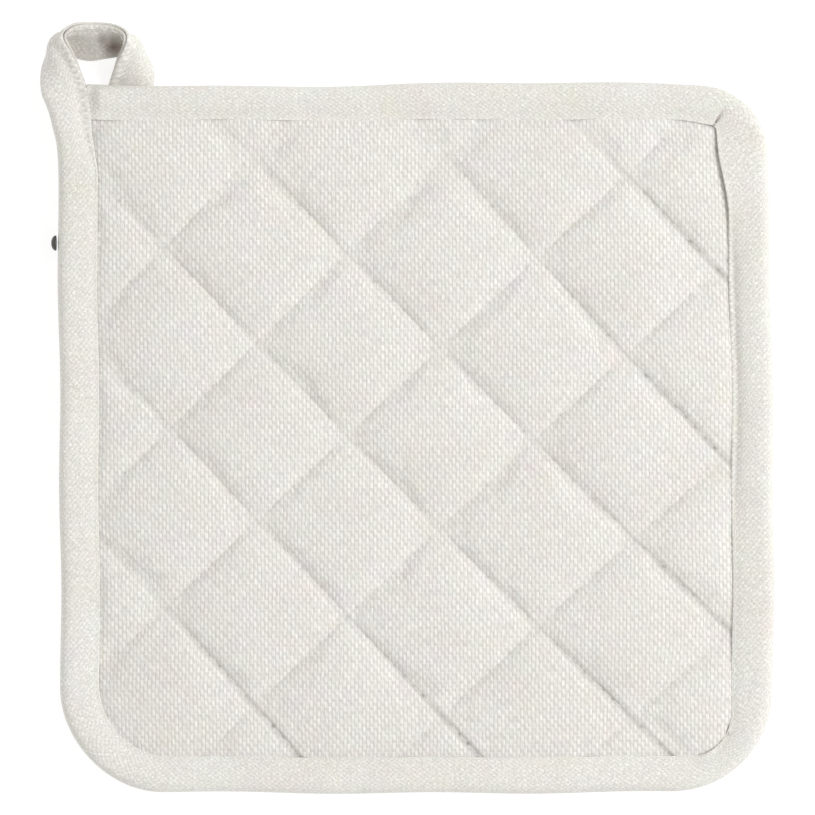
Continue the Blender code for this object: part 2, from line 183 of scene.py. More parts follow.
class Nodes:
    """Adds nodes to a material and links them as they are made."""

    def __init__(self, material):
        self.tree = material.node_tree

    def add(self, kind, inputs=(), **settings):
        node = self.tree.nodes.new(kind)
        for key, value in settings.items():
            setattr(node, key, value)
        for key, value in dict(inputs).items():
            self.set(node.inputs[key], value)
        return node

    def set(self, socket, value):
        if isinstance(value, bpy.types.NodeSocket):
            self.tree.links.new(value, socket)
        else:
            socket.default_value = value

    def math(self, operation, a, b=0.0):
        return self.add("ShaderNodeMath", {0: a, 1: b}, operation=operation).outputs[0]

    def mix(self, factor, a, b, blend="MIX"):
        node = self.add("ShaderNodeMix", {0: factor}, data_type="RGBA", blend_type=blend)
        self.set(node.inputs["A"], a)
        self.set(node.inputs["B"], b)
        return node.outputs["Result"]

    def noise(self, vector, scale, detail=2.0):
        inputs = {"Vector": vector, "Scale": scale, "Detail": detail}
        return self.add("ShaderNodeTexNoise", inputs).outputs["Fac"]

    def vector(self, x, y, z=0.0):
        return self.add("ShaderNodeCombineXYZ", {0: x, 1: y, 2: z}).outputs[0]


# %% [markdown]
# ### Painted shade where the cloth is drawn in
#
# Thread pulls a cloth down, and soft light alone leaves it too bright there, so shade is painted into its
# colour and its bump is sunk a little. The pad's second UV map counts seams instead of metres, so nodes can
# find every seam and needle hole with it. Real pulls are uneven, so noise lets the line stray and the holes
# come and go.
# Two attributes, stored on the points of a mesh, say where more painted shade belongs: "tightness" on the pad's
# seams, and one on the tape in its creases, its groove and the bend of the loop.

# %% Painted shade in the seams and creases of the cloth
SEAM_SPACING = 36.5  # in mm, as the seams' own distances further down
STITCHES_PER_CELL = 10
# Distances from a hole or seam: fully shaded up to the first, not at all beyond the second
HOLE_WIDTH = (0.2 * MM, 0.8 * MM)
LINE_WIDTH = (0.1 * MM, 1.7 * MM)
HOLE_SHADE = 0.13
LINE_SHADE = 0.03
LINE_WANDER = 0.9 * MM
WANDER_NOISE = 700.0  # noise scales are in ups and downs to a metre of cloth
PULL_NOISE = 260.0
PULL_LIMITS = (0.42, 0.68)
HARDEST_PULL = 2.0
EVEN_PULL = 1.9  # the line is pulled this much everywhere, and by half of the uneven pull besides
UNEVEN_SHARE = 0.5


def map_range(nodes, value, limits, results):
    """The value, with its limits turned into the results and nothing beyond them."""
    inputs = {0: value, 1: limits[0], 2: limits[1], 3: results[0], 4: results[1]}
    return nodes.add("ShaderNodeMapRange", inputs).outputs[0]


def to_line(nodes, count, lines):
    """Distance to the nearest of so many lines to a seam spacing, in metres."""
    scaled = nodes.math("MULTIPLY", count, float(lines))
    off = nodes.math("ABSOLUTE", nodes.math("SUBTRACT", scaled, nodes.math("ROUND", scaled, 0.0)))
    return nodes.math("MULTIPLY", off, SEAM_SPACING * MM / lines)


def seam_shade(nodes):
    """The painted shade where the thread draws the cloth in, which also sinks the bump: along the falling seams
    and at the needle holes of all seams.
    """
    parts = nodes.add("ShaderNodeSeparateXYZ", {0: nodes.add("ShaderNodeUVMap", uv_map="seams").outputs[0]})
    flat = nodes.add("ShaderNodeUVMap", uv_map="cloth").outputs[0]
    pull = map_range(nodes, nodes.noise(flat, PULL_NOISE, 1.0), PULL_LIMITS, (0.0, HARDEST_PULL))
    reaches = []
    for own, other in ((0, 1), (1, 0)):
        off = to_line(nodes, parts.outputs[own], 1)
        along = to_line(nodes, parts.outputs[other], STITCHES_PER_CELL)
        squares = nodes.math("ADD", nodes.math("POWER", off, 2.0), nodes.math("POWER", along, 2.0))
        reaches.append(nodes.math("SQRT", squares, 0.0))
    hole = map_range(nodes, nodes.math("MINIMUM", *reaches), HOLE_WIDTH, (HOLE_SHADE, 0.0))
    stray = nodes.math("SUBTRACT", nodes.noise(flat, WANDER_NOISE, 1.0), 0.5)
    off = nodes.math("ADD", to_line(nodes, parts.outputs[0], 1), nodes.math("MULTIPLY", stray, LINE_WANDER))
    line = map_range(nodes, off, LINE_WIDTH, (LINE_SHADE, 0.0))
    tight = nodes.add("ShaderNodeAttribute", attribute_name="tightness").outputs["Fac"]
    line_pull = nodes.math("ADD", nodes.math("MULTIPLY", pull, UNEVEN_SHARE), EVEN_PULL)
    line = nodes.math("MULTIPLY", nodes.math("MULTIPLY", line, tight), line_pull)
    return nodes.math("ADD", line, nodes.math("MULTIPLY", hole, pull))


def crease_shade(nodes):
    """The shade painted on the points of the tape: in its creases, its groove and the bend of the loop."""
    return nodes.add("ShaderNodeAttribute", attribute_name="painted_shade_on_tape").outputs["Fac"]


# %% The yarns
# Yarns are counted across the cloth, so the next values are in yarns.
BEND_NOISE = 90.0
BEND = 0.8  # how far the yarns run out of line
WEFT_BEND = 0.7  # the wefts' share of that
ROUNDNESS = 0.7  # 1 is a sine, and less has a broader back
WEFT_LEVEL = 0.7  # how high a weft lies beside a warp, where the weave isn't even
SLUB_STRETCH = (0.2, 0.55)  # how fast the thickness changes along a yarn, in an uneven and in an even weave
FIBRE_ACROSS = 2.6
FIBRE_ALONG = (0.5, 3.1)


def between(pair, share):
    """The value at a share of the way from the first of a pair to the second."""
    return pair[0] + (pair[1] - pair[0]) * share


def yarn_counts(nodes, flat, warps, wefts):
    """The place on the cloth as numbers of yarns, counted across the warps and across the wefts."""
    counts = []
    for angle, pitch in (warps, wefts):
        step = (math.cos(math.radians(angle)) / pitch, math.sin(math.radians(angle)) / pitch, 0.0)
        product = nodes.add("ShaderNodeVectorMath", {0: flat, 1: step}, operation="DOT_PRODUCT")
        counts.append(product.outputs["Value"])
    bend = nodes.math("MULTIPLY", nodes.math("SUBTRACT", nodes.noise(flat, BEND_NOISE, 1.0), 0.5), BEND)
    weft_bend = nodes.math("MULTIPLY", bend, WEFT_BEND)
    return nodes.math("ADD", counts[0], bend), nodes.math("ADD", counts[1], weft_bend)


def yarn_height(nodes, own, other, sign, level):
    """The round back of a yarn, lifted where it passes over and sunk where it passes under."""
    profile = nodes.math("SINE", nodes.math("MULTIPLY", nodes.math("FRACT", own), math.pi))
    profile = nodes.math("POWER", profile, ROUNDNESS)
    phase = nodes.math("SUBTRACT", nodes.math("SUBTRACT", other, 0.5), nodes.math("FLOOR", own))
    wave = nodes.math("COSINE", nodes.math("MULTIPLY", phase, math.pi))
    lift = nodes.math("ADD", nodes.math("MULTIPLY", wave, 0.5 * sign), 0.5)
    return nodes.math("MULTIPLY", nodes.math("MULTIPLY", profile, lift), level)


def yarn_thickness(nodes, across, along, is_warp, stretch):
    """Noise drawn out along each yarn, for the one that shows."""
    slub = nodes.noise(nodes.vector(across, nodes.math("MULTIPLY", along, stretch)), 1.0, 2.0)
    weft_slub = nodes.noise(nodes.vector(nodes.math("MULTIPLY", across, stretch), along, 7.0), 1.0, 2.0)
    return nodes.add("ShaderNodeMix", {0: is_warp, 2: weft_slub, 3: slub}).outputs[0]


# %% The colours of a cloth
THICK_LIGHTENS = 1.1
FIBRE_LIGHTENS = 2.2
LIGHTNESS_START = 1.15
# Painted shade on the wefts, at every other crossing and in the gaps beside the yarns
WEFT_DARKNESS = 0.3
SLANT = 0.085  # how much darker every other crossing is, which gives the cloth its slanting grain
GAP_STARTS = 0.2  # distance from the middle of a yarn, in yarns
WARP_GAP = 0.3
WEFT_GAP = 0.4
TONE_NOISE = 38.0
TONE_LIMITS = (0.3, 0.7)
STRONGEST_TONE = 0.6
BLOTCH_NOISE = 150.0
BLOTCHES = 0.14
PIT_DEPTH = 0.1 * MM
CLOTH_ROUGHNESS = 0.92
CLOTH_GLOSS = 0.25
SHEEN = 0.15
SHEEN_ROUGHNESS = 0.5


def yarn_colour(nodes, across, along, thickness, even, colours):
    """Light where a yarn is thick or its fibres stand up."""
    fine_across = nodes.math("MULTIPLY", across, FIBRE_ACROSS)
    fine_along = nodes.math("MULTIPLY", along, between(FIBRE_ALONG, even))
    fibre = nodes.noise(nodes.vector(fine_across, fine_along, 3.0), 1.0, 1.0)
    fibre = nodes.math("MULTIPLY", fibre, FIBRE_LIGHTENS)
    lightness = nodes.math("ADD", nodes.math("MULTIPLY", thickness, THICK_LIGHTENS), fibre)
    lightness = nodes.math("SUBTRACT", lightness, LIGHTNESS_START)
    return nodes.mix(lightness, colours["yarn"], colours["light yarn"])


def painted_gap_shade(nodes, across, along, is_warp, even):
    """Painted shade: dark beside each yarn, and a little darker on the wefts and at every other crossing."""
    on_weft = nodes.math("MULTIPLY", nodes.math("SUBTRACT", 1.0, is_warp), WEFT_DARKNESS * (1 - even))
    waves = [nodes.math("COSINE", nodes.math("MULTIPLY", count, math.pi)) for count in (across, along)]
    slant = nodes.math("MULTIPLY", nodes.math("MULTIPLY", *waves), SLANT * (1 - even))
    darker = nodes.math("ADD", on_weft, slant)
    for count, depth in ((across, WARP_GAP), (along, WEFT_GAP * even)):
        beside = nodes.math("ABSOLUTE", nodes.math("SUBTRACT", nodes.math("FRACT", count), 0.5))
        darker = nodes.math("ADD", darker, map_range(nodes, beside, (GAP_STARTS, 0.5), (0.0, depth)))
    return darker


def woven_cloth(name, warps, wefts, colours, relief, even, added_shade):
    """A plain weave. Warps and wefts are each (direction across those yarns on the UV map, pitch in metres).

    Even is 0 where the warps lie on top and 1 where both lie equally high. The function added_shade gives how
    much of the shade to mix in and how deep the cloth is drawn in.
    """
    material = bpy.data.materials.new(name)
    material.use_nodes = True
    nodes = Nodes(material)
    flat = nodes.add("ShaderNodeUVMap", uv_map="cloth").outputs[0]
    across, along = yarn_counts(nodes, flat, warps, wefts)
    over = yarn_height(nodes, across, along, 1.0, 1.0)
    under = yarn_height(nodes, along, across, -1.0, between((WEFT_LEVEL, 1.0), even))
    is_warp = nodes.math("GREATER_THAN", over, under)
    thickness = yarn_thickness(nodes, across, along, is_warp, between(SLUB_STRETCH, even))
    height = nodes.math("MULTIPLY", nodes.math("MAXIMUM", over, under), nodes.math("ADD", thickness, 0.5))
    colour = yarn_colour(nodes, across, along, thickness, even, colours)
    colour = nodes.mix(painted_gap_shade(nodes, across, along, is_warp, even), colour, colours["gap"])
    tone = map_range(nodes, nodes.noise(flat, TONE_NOISE, 2.0), TONE_LIMITS, (0.0, STRONGEST_TONE))
    colour = nodes.mix(tone, colour, colours["tone"], "MULTIPLY")
    blotches = nodes.add("ShaderNodeTexNoise", {"Vector": flat, "Scale": BLOTCH_NOISE, "Detail": 1.0})
    colour = nodes.mix(BLOTCHES, colour, blotches.outputs["Color"], "SOFT_LIGHT")
    # Painted shade where the cloth is drawn in or creased, which also sinks the bump a little
    depth = added_shade(nodes)
    colour = nodes.mix(depth, colour, colours["shade"])
    height = nodes.math("SUBTRACT", height, nodes.math("MULTIPLY", depth, PIT_DEPTH / relief))
    bump = nodes.add("ShaderNodeBump", {"Height": height, "Distance": relief, "Strength": 1.0})
    shader = material.node_tree.nodes["Principled BSDF"]
    nodes.set(shader.inputs["Base Color"], colour)
    nodes.set(shader.inputs["Normal"], bump.outputs[0])
    shader.inputs["Roughness"].default_value = CLOTH_ROUGHNESS
    shader.inputs["Specular IOR Level"].default_value = CLOTH_GLOSS
    shader.inputs["Sheen Weight"].default_value = SHEEN
    shader.inputs["Sheen Roughness"].default_value = SHEEN_ROUGHNESS
    print(name, "has", len(nodes.tree.nodes), "nodes")
    return material


# %% The two cloths
PAD_WARPS, PAD_WEFTS = (0, 1.06 * MM), (90, 1.18 * MM)
TAPE_WARPS, TAPE_WEFTS = (55, 0.985 * MM), (-51, 1.085 * MM)
PAD_RELIEF, TAPE_RELIEF = 0.08 * MM, 0.05 * MM
PAD_EVEN, TAPE_EVEN = 0.0, 0.6
# In both cloths the gap and shade colours are painted shade
PAD_COLOURS = {
    "yarn": linear(219, 216, 212),
    "light yarn": linear(245, 243, 238),
    "gap": linear(184, 181, 176),
    "tone": linear(248, 246, 242),
    "shade": linear(160, 156, 150),
}
TAPE_COLOURS = {
    "yarn": linear(208, 206, 200),
    "light yarn": linear(249, 247, 242),
    "gap": linear(198, 196, 190),
    "tone": linear(248, 246, 241),
    "shade": linear(118, 104, 96),
}
pad_cloth = woven_cloth(
    "quilted canvas", PAD_WARPS, PAD_WEFTS, PAD_COLOURS, PAD_RELIEF, PAD_EVEN, seam_shade)
tape_cloth = woven_cloth(
    "bias tape", TAPE_WARPS, TAPE_WEFTS, TAPE_COLOURS, TAPE_RELIEF, TAPE_EVEN, crease_shade)

# %% [markdown]
# ## Where everything lies
#
# The outline, the seams and the hand-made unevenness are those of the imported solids, apart from moves of well
# under a millimetre and rounder lower corners, so they are named here again. A corner is an arc, a side is
# straight, and one function then bows, ripples and lifts all pieces together, so that neighbours stay
# together. Fold means the outer edge, where the tape is folded, and field is the part inside the tape.

# %% Sizes of the outline
# A side is -1 on the left or at the bottom and 1 on the right or at the top. A corner is a pair of sides.
HALF_SIDE = 100 * MM
OUTER_RADIUS = {(-1, -1): 29 * MM, (1, -1): 28.5 * MM, (1, 1): 18 * MM, (-1, 1): 12 * MM}
FIELD_RADIUS = {(-1, -1): 20 * MM, (1, -1): 12 * MM, (1, 1): 1.6 * MM, (-1, 1): 2 * MM}
FIELD_X = {-1: 88.9 * MM, 1: 88.6 * MM}
FIELD_Y = {-1: 89.9 * MM, 1: 89.7 * MM}
FOLD_X = {-1: HALF_SIDE, 1: HALF_SIDE + 0.4 * MM}
FOLD_Y = {-1: HALF_SIDE, 1: HALF_SIDE}
# At the upper right corner the tape is folded over further: the inner edge is drawn in on both sides
CORNER_CUT = 2.7 * MM
CORNER_CUT_ALONG = (62 * MM, 84 * MM)
CORNER_DROP = 1.4 * MM
CORNER_DROP_ALONG = (77 * MM, 90 * MM)
CORNER_ACROSS = (70 * MM, 84 * MM)


def inset(point, half_x, half_y, radii):
    """How far a point lies inside a rounded outline, below 0 outside it."""
    side = (1 if point.x > 0 else -1, 1 if point.y > 0 else -1)
    radius = radii[side]
    beyond = (abs(point.x) - half_x[side[0]] + radius, abs(point.y) - half_y[side[1]] + radius)
    outside = math.hypot(max(beyond[0], 0.0), max(beyond[1], 0.0))
    return radius - outside - min(max(beyond), 0.0)


def corner_cut(x, y):
    """How far the inner edge is drawn to the left at the upper right corner."""
    return CORNER_CUT * step_between(CORNER_CUT_ALONG, y) * step_between(CORNER_ACROSS, x)


def corner_drop(x, y):
    """How far the inner edge is drawn down at the upper right corner."""
    return CORNER_DROP * step_between(CORNER_DROP_ALONG, x) * step_between(CORNER_ACROSS, y)


def drawn_in(point):
    """The place on the drawn-in inner edge of a point on the plain rounded one."""
    y = point.y - corner_drop(point.x, point.y)
    return Vector((point.x - corner_cut(point.x, y), y))


def field_inset(point):
    """How far a point lies inside the inner edge of the tape."""
    x = point.x + corner_cut(point.x, point.y)
    plain = Vector((x, point.y + corner_drop(x, point.y)))
    return inset(plain, FIELD_X, FIELD_Y, FIELD_RADIUS)


def fold_inset(point):
    """How far a point lies inside the folded edge of the tape."""
    return inset(point, FOLD_X, FOLD_Y, OUTER_RADIUS)


def arc_pair(corner, share):
    """Folded edge and inner edge of the tape at a share of the turn round a corner, clockwise from above."""
    side_x, side_y = corner
    first = {(1, 1): 90, (1, -1): 0, (-1, -1): -90, (-1, 1): 180}[corner]
    angle = math.radians(first - 90 * share)
    direction = Vector((math.cos(angle), math.sin(angle)))
    pair = []
    for half_x, half_y, radii in ((FOLD_X, FOLD_Y, OUTER_RADIUS), (FIELD_X, FIELD_Y, FIELD_RADIUS)):
        radius = radii[corner]
        centre = Vector((side_x * (half_x[side_x] - radius), side_y * (half_y[side_y] - radius)))
        pair.append(centre + direction * radius)
    return pair


# %% Unevenness of the whole holder
SIDE_BOW = 1.5 * MM
SIDE_BOW_MIDDLE = -36 * MM
LEFT_SHIFT = 0.8 * MM
BOTTOM_BOW = 0.8 * MM
LEAN = 0.005
RIPPLE = 0.25 * MM
RIPPLE_LENGTH = 57 * MM
TOP_WAVE = 0.7 * MM
TOP_WAVE_LENGTH = 170 * MM
TOP_WAVE_LOW = -49 * MM
LIFT = 2.9 * MM
LIFT_MIDDLE = Vector((-84 * MM, 94 * MM))
LIFT_FLAT = 12 * MM
LIFT_REACH = 80 * MM
SQUEEZE = 0.72
SQUEEZE_ACROSS = (-92 * MM, -98 * MM)
SQUEEZE_ALONG = (82 * MM, 99 * MM)
MIDDLE_HEIGHT = 3.3 * MM


def kept_thickness(x, y):
    """The share of its thickness that the holder keeps, less than 1 where the tape closes to the loop."""
    return 1 - (1 - SQUEEZE) * step_between(SQUEEZE_ACROSS, x) * step_between(SQUEEZE_ALONG, y)


def uneven(point):
    """Bows and ripples the sides, closes the tape towards the loop and lifts that corner onto its end."""
    x, y, z = point
    share_x, share_y = x / HALF_SIDE, y / HALF_SIDE
    kept = kept_thickness(x, y)
    bow = SIDE_BOW * (1 - ((y - SIDE_BOW_MIDDLE) / HALF_SIDE) ** 2) * max(share_x, 0.0) ** 2
    lean = -LEAN * (y - HALF_SIDE / 2) * max(-share_x, 0.0) ** 2
    shift = LEFT_SHIFT * max(-share_x, 0.0) ** 4
    sag = BOTTOM_BOW * (1 - share_x**2) * max(-share_y, 0.0) ** 4
    wave = math.tau / RIPPLE_LENGTH
    dip = TOP_WAVE * math.cos(math.tau * (x - TOP_WAVE_LOW) / TOP_WAVE_LENGTH) * max(share_y, 0.0) ** 12
    distance = (Vector((x, y)) - LIFT_MIDDLE).length
    lift = LIFT * (1 - smooth_step((distance - LIFT_FLAT) / LIFT_REACH))
    return Vector((
        x + bow + lean - shift + RIPPLE * math.sin(wave * y) * share_x**2,
        y - sag - dip + RIPPLE * math.sin(wave * x + 1) * share_y**2,
        MIDDLE_HEIGHT + (z - MIDDLE_HEIGHT) * kept + lift,
    ))


# %% [markdown]
# ## The quilted pad
#
# A quilter sews two cloths together through wadding along slanting seams. Between the seams the wadding
# pushes the cloth up, and along a seam the thread draws it in, so it puckers from stitch to stitch. The grid
# of the mesh therefore runs along the seams: each diamond has the same number of faces, and every second
# grid point on a seam is a stitch hole. Each seam has its own place, tilt and slight bow, and a grid point is
# where two of these lines cross.

# %% Seams
# (distance from the middle in mm, turn away from 45 degrees, bow in mm over BOW_SPAN)
FALLING_SEAMS = (
    (-84.4, -2.4, 1.0),
    (-48.5, -1.6, -0.5),
    (-13.3, -0.3, -1.1),
    (22.9, -0.1, -1.0),
    (59.7, -3.0, -2.1),
    (94.5, -1.0, -0.1),
)
RISING_SEAMS = (
    (-99.6, -3.8, 0.5),
    (-62.5, -2.3, 2.0),
    (-23.4, -1.7, 0.8),
    (13.6, -1.8, 0.5),
    (50.5, -0.3, 0.1),
    (88.1, 1.2, -0.7),
)
BOW_SPAN = 100 * MM


def seam_at(seams, turn, number):
    """Direction, normal, distance and bow of a line at any number between, before or after the seams."""
    first = int(clamp(math.floor(number), 0, len(seams) - 2))
    share = clamp(number - first)
    offset, tilt, bow = (a + (b - a) * share for a, b in zip(seams[first], seams[first + 1]))
    offset += SEAM_SPACING * (number - first - share)
    angle = math.radians(turn + tilt)
    along = Vector((math.cos(angle), math.sin(angle)))
    return along, Vector((-along.y, along.x)), offset * MM, bow * MM


def crossing(falling_number, rising_number):
    """Where two lines of the quilting cross, found by a few steps from the straight lines."""
    lines = (seam_at(FALLING_SEAMS, -45, falling_number), seam_at(RISING_SEAMS, 45, rising_number))
    (_, n, _, _), (_, m, _, _) = lines
    area = n.x * m.y - n.y * m.x
    point = Vector((0.0, 0.0))
    for _ in range(4):
        a, b = (offset - bow * (point.dot(along) / BOW_SPAN) ** 2 for along, _, offset, bow in lines)
        point = Vector(((a * m.y - b * n.y) / area, (n.x * b - m.x * a) / area))
    return point


# %% Pad sizes
FACES_PER_CELL = 2 * STITCHES_PER_CELL
FALLING_RANGE = (-1.5, 6.3)  # the grid reaches past the first and last seams, so these count seams
RISING_RANGE = (-1.1, 6.4)
PAD_RIM = 3.2 * MM  # how far the pad's edge lies inside the folded edge of the tape
EDGE_TOP = 4.4 * MM
EDGE_BOTTOM = 1.7 * MM
SEAM_TOP = 5.2 * MM
SEAM_BOTTOM = 1.6 * MM
CROWN_TOP = 7.9 * MM
ROUNDING = 4.2 * MM  # the cloth rises most of the way within a few of these from a seam
RESTING_SHARE = 0.8  # the back lies on the table where the filling has this share of its crown or more
EDGE_SWELL = 25 * MM  # the cloth rises steeply from under the tape, and is full this far inside
EDGE_FORM = 0.3  # less than 1 makes it steepest at the tape
STITCH_PULL = 0.15 * MM
# Painted shade and the sunk bump along the falling seams grow towards the right and lower edge
TIGHT_ENDS = (36 * MM, 88 * MM)  # the falling seams are drawn in further towards the right and lower edge
TIGHTEST = 9.0
# The middle of each diamond is held, and the cloth beside the seams is free to pucker
WADDING_HOLD = 0.6
FREE_WIDTH = 1 * MM
HOLD_REACH = 5 * MM

# %% A grid that runs along the seams


def seam_grid():
    """A flat grid with its lines along the seams. Each point keeps its two numbers."""
    bm = bmesh.new()
    counts = [round((high - low) * FACES_PER_CELL) for low, high in (FALLING_RANGE, RISING_RANGE)]
    starts = [round(low * FACES_PER_CELL) for low, _ in (FALLING_RANGE, RISING_RANGE)]
    bmesh.ops.create_grid(bm, x_segments=counts[0], y_segments=counts[1], size=1.0)
    falling = bm.verts.layers.int.new("falling")
    rising = bm.verts.layers.int.new("rising")
    for point in bm.verts:
        point[falling] = starts[0] + round((point.co.x + 1) / 2 * counts[0])
        point[rising] = starts[1] + round((point.co.y + 1) / 2 * counts[1])
        place = crossing(point[falling] / FACES_PER_CELL, point[rising] / FACES_PER_CELL)
        point.co = (*place, 0.0)
    outside = [f for f in bm.faces if any(fold_inset(v.co.xy) < PAD_RIM for v in f.verts)]
    bmesh.ops.delete(bm, geom=outside, context="FACES")
    bmesh.ops.recalc_face_normals(bm, faces=bm.faces)
    if bm.faces[0].normal.z < 0:
        bmesh.ops.reverse_faces(bm, faces=bm.faces)
    return bm


# %% Two cloths with a filling


def seam_distances(point, falling, rising):
    """How far a point lies from its nearest falling and rising seam, in metres."""
    steps = [point[layer] % FACES_PER_CELL for layer in (falling, rising)]
    return [min(step, FACES_PER_CELL - step) / FACES_PER_CELL * SEAM_SPACING * MM for step in steps]


def pad_slab():
    """Front and back joined all round, filled to about their final height, with the weights of the pins."""
    bm = seam_grid()
    falling = bm.verts.layers.int["falling"]
    rising = bm.verts.layers.int["rising"]
    cloth_map = bm.loops.layers.uv.new("cloth")
    seam_map = bm.loops.layers.uv.new("seams")
    tightness = bm.verts.layers.float.new("tightness")
    front = bm.faces[:]
    back = bmesh.ops.duplicate(bm, geom=bm.verts[:] + bm.edges[:] + front)
    back_points = {part for part in back["geom"] if isinstance(part, bmesh.types.BMVert)}
    bmesh.ops.reverse_faces(bm, faces=[part for part in back["geom"] if isinstance(part, bmesh.types.BMFace)])
    rim = [edge for edge in bm.edges if edge.is_boundary and edge.verts[0] not in back_points]
    made = bmesh.ops.extrude_edge_only(bm, edges=rim)["geom"]
    lower = [part for part in made if isinstance(part, bmesh.types.BMVert)]
    weights = {}
    for point in bm.verts:
        for corner in point.link_loops:
            corner[cloth_map].uv = point.co.xy
            corner[seam_map].uv = (point[falling] / FACES_PER_CELL, point[rising] / FACES_PER_CELL)
    for point in bm.verts:
        ends = max(step_between(TIGHT_ENDS, point.co.x), step_between(TIGHT_ENDS, -point.co.y))
        to_falling = min(point[falling] % FACES_PER_CELL, -point[falling] % FACES_PER_CELL)
        # How much painted shade, and sink of the bump, a point on a falling seam gets
        point[tightness] = 1 + (TIGHTEST - 1) * ends * (to_falling < 1)
        on_back = point in back_points
        distances = seam_distances(point, falling, rising)
        form = math.prod(1 - math.exp(-distance / ROUNDING) for distance in distances)
        inside = clamp(field_inset(point.co.xy) / EDGE_SWELL)
        on_seam = 0.0 in distances
        hole = any(
            point[own] % FACES_PER_CELL == 0 and point[other] % 2 == 0
            for own, other in ((falling, rising), (rising, falling)))
        pulled = STITCH_PULL if on_seam and not hole else 0.0
        if on_back:
            full = SEAM_BOTTOM * (1 - form / RESTING_SHARE) - pulled
            height = max(0.0, EDGE_BOTTOM + (full - EDGE_BOTTOM) * inside**EDGE_FORM)
        else:
            full = SEAM_TOP + (CROWN_TOP - SEAM_TOP) * form + pulled
            height = EDGE_TOP + (full - EDGE_TOP) * inside**EDGE_FORM
        point.co.z = height
        held = WADDING_HOLD * clamp((min(distances) - FREE_WIDTH) / HOLD_REACH)
        weights[point] = 1.0 if hole or inside <= 0 else held
    for point in lower:
        point.co.z = EDGE_BOTTOM
        weights[point] = 1.0
    crease = bm.edges.layers.float.new("crease_edge")
    for edge in bm.edges:
        numbers = [[point[layer] for point in edge.verts] for layer in (falling, rising)]
        if any(a == b and a % FACES_PER_CELL == 0 for a, b in numbers):
            edge[crease] = 1.0
            edge.smooth = False
    bmesh.ops.remove_doubles(bm, verts=bm.verts, dist=0.01 * MM)
    bm.verts.index_update()
    kept = {point.index: weight for point, weight in weights.items() if point.is_valid}
    print("pad before sewing:", len(bm.verts), "points", len(bm.faces), "faces")
    return bm, kept


# %% [markdown]
# ### Sewing and filling by simulation
#
# The stitch holes and the edge under the tape are pinned. The cloth is told that it is 1.4% larger than it is
# drawn, as the thread gathers it, and a light pressure stands for the wadding. The middle of each diamond is
# held softly, because the wadding there is stiff and hardly moves. Twenty frames are enough for the cloth to
# find its puckers. No point may move further than a small limit, and the result is then copied to a plain
# mesh, so that no simulation is left on the piece.

# %% Simulation
GATHER = -0.014
PRESSURE = 4.0
SEWING_FRAMES = 20
FURTHEST_MOVE = 1.2 * MM


def sew(pad, weights):
    """Runs the cloth simulation and returns the moved places."""
    pins = pad.vertex_groups.new(name="pins")
    for index, weight in weights.items():
        if weight > 0:
            pins.add([index], weight, "REPLACE")
    cloth = pad.modifiers.new("sewing", "CLOTH")
    cloth.settings.vertex_group_mass = "pins"
    cloth.settings.effector_weights.gravity = 0.0
    cloth.settings.use_pressure = True
    cloth.settings.uniform_pressure_force = PRESSURE
    cloth.settings.shrink_min = GATHER
    cloth.settings.quality = 5
    cloth.collision_settings.use_collision = False
    cloth.point_cache.frame_end = SEWING_FRAMES
    for number in range(1, SEWING_FRAMES + 1):
        bpy.context.scene.frame_set(number)
    sewn = pad.evaluated_get(bpy.context.evaluated_depsgraph_get()).to_mesh()
    places = [point.co.copy() for point in sewn.vertices]
    pad.modifiers.remove(cloth)
    pad.vertex_groups.remove(pins)
    bpy.context.scene.frame_set(1)
    return places


# %% The pad
bm, pin_weights = pad_slab()
pad = new_object("pad_cloth", bm)
drawn = [point.co.copy() for point in pad.data.vertices]
sewn = sew(pad, pin_weights)
moves = []
for point, start, end in zip(pad.data.vertices, drawn, sewn):
    move = end - start
    if move.length > FURTHEST_MOVE:
        move.length = FURTHEST_MOVE
    moves.append(move.length)
    place = start + move
    place.z = max(place.z, 0.0)
    point.co = uneven(place)
print("sewing moved the cloth by", round(sum(moves) / len(moves) / MM, 2), "mm on average, at most",
      round(max(moves) / MM, 2), "mm")
pad.data.materials.append(pad_cloth)
smooth = pad.modifiers.new("finer cloth", "SUBSURF")
smooth.levels = smooth.render_levels = 1
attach(pad, "root")
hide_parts("quilted_pad")

# %% [markdown]
# ## The tape: binding and loop in one
#
# A bias tape is a strip cut slantwise, so that it stretches round a curve, and folded in half over the raw
# edge. One line of stitches near its open edge holds both legs. At the upper left corner the same tape leaves
# the pad, turns into the loop and ends behind the top edge, so here it is one piece too. A flat grid is laid
# over the whole tape, with its rows across it. Each row takes the cross section of the tape, which changes
# from straddling the pad to two legs lying together. The flat grid gives the cloth's coordinates before it is
# bent. A tape that is guided by hand is never even: its open edge stands off the pad in places, the stitches
# wander, and small creases run in from the open edge at two corners.

